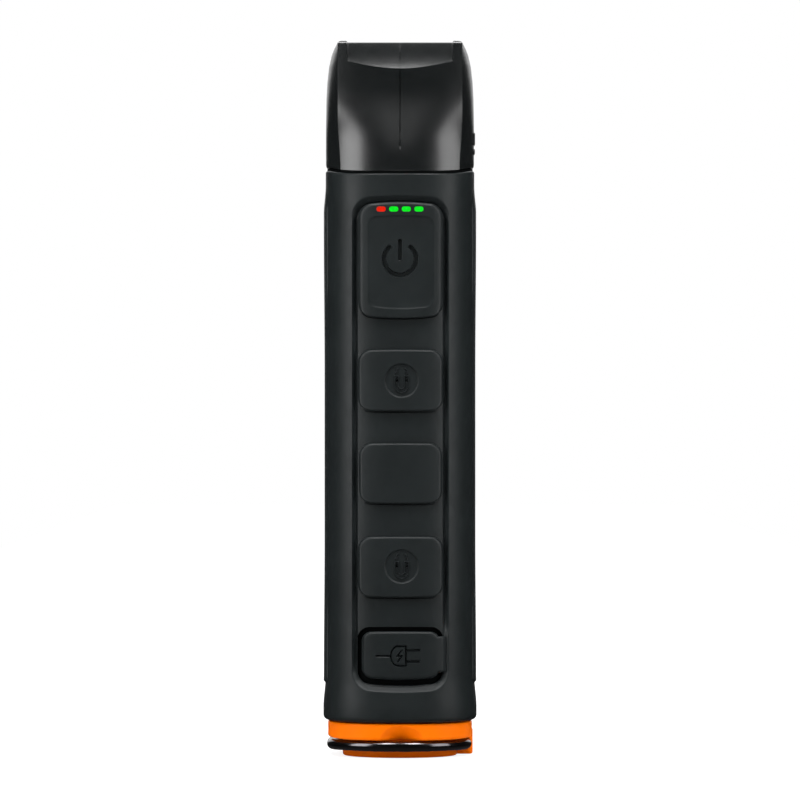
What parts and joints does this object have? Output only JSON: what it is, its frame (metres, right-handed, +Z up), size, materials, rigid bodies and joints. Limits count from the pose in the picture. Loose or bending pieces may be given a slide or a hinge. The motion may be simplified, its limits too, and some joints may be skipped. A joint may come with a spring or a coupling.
{
  "type": "rechargeable work lamp",
  "caption": "Hand-held rechargeable work lamp: rubber-sleeved pillar body with power button, charge windows, magnet pads, port flap, torch head, and an orange swivel base with a wire hook.",
  "frame": {"origin": "centre of the overall box at the foot's lower face, on which the lamp stands", "axes": "+Z up the lamp, -Y out of the control face with the button and pads, +X to the right of a person facing that face"},
  "size_m": [0.0482, 0.0394, 0.2231],
  "materials": {
    "sleeve_rubber": "matte, fine grained",
    "pad_rubber": "matte, fine grained",
    "button_rubber": "matte, fine grained",
    "seal_rubber": "matte",
    "housing_plastic": "satin",
    "head_plastic": "satin gloss",
    "orange_plastic": "satin",
    "clear_lens": "clear",
    "red_window": "clear red, lit",
    "green_window": "clear green, lit",
    "reflector_plastic": "white",
    "bright_reflector": "polished",
    "led_phosphor": "matte",
    "led_chip": "clear",
    "green_board": "satin",
    "white_board": "satin",
    "aluminium": "plain",
    "cell_wrap": "shrink wrapped",
    "terminal_metal": "plain",
    "lead_sleeving": "satin",
    "magnet_metal": "plated",
    "plain_steel": "zinc plated",
    "dark_chrome": "black chrome"
  },
  "bodies": {
    "lamp": {"rubber_sleeve": "sleeve_rubber", "back_shell": "housing_plastic", "front_shell": "housing_plastic", "end_plate": "housing_plastic", "end_plate_screws": "plain_steel", "head_shell_left": "head_plastic", "head_shell_right": "head_plastic", "head_screws": "plain_steel", "head_seal": "seal_rubber", "upper_magnet_pad": "pad_rubber", "middle_pad": "pad_rubber", "lower_magnet_pad": "pad_rubber", "upper_magnet": "magnet_metal", "lower_magnet": "magnet_metal", "control_board": "green_board", "tactile_switch": "plain_steel", "indicator_leds": "led_chip", "usb_socket": "plain_steel", "charge_board": "green_board", "battery_cell": "cell_wrap", "battery_cradle": "housing_plastic", "battery_terminals": "terminal_metal", "battery_leads": "lead_sleeving", "heat_sink": "aluminium", "light_board": "white_board", "cob_strip": "led_phosphor", "light_reflector": "reflector_plastic", "main_lens": "clear_lens", "lens_gasket": "seal_rubber", "torch_lens_ring": "head_plastic", "torch_lens": "clear_lens", "torch_reflector": "bright_reflector", "torch_led_board": "white_board", "torch_led": "led_phosphor", "torch_heat_sink": "aluminium"},
    "button": {"power_button": "button_rubber", "charge_window_red": "red_window", "charge_windows_green": "green_window"},
    "flap": {"port_flap": "pad_rubber"},
    "base": {"swivel_base": "orange_plastic", "base_magnet": "magnet_metal", "foot_pad": "seal_rubber", "swivel_spindle": "plain_steel", "spindle_washer": "plain_steel", "spindle_clip": "plain_steel"},
    "hook": {"hook": "dark_chrome", "hook_clip": "plain_steel"}
  },
  "joints": [
    {"name": "power_press", "type": "slide", "parent": "lamp", "child": "button", "axis": [0, 1, 0], "range_m": [0, 0.00045], "stiffness_N_per_m": 2000},
    {"name": "flap_hinge", "type": "hinge", "parent": "lamp", "child": "flap", "pos_m": [0.0122, -0.01635, 0.0321], "axis": [0, 0, 1], "range_deg": [0, 100]},
    {"name": "base_swivel", "type": "hinge", "parent": "lamp", "child": "base", "pos_m": [0, 0, 0.0113], "axis": [0, 0, 1], "continuous": true},
    {"name": "hook_hinge", "type": "hinge", "parent": "base", "child": "hook", "pos_m": [0.02085, 0.003, 0.0036], "axis": [0, -1, 0], "range_deg": [0, 180]}
  ]
}
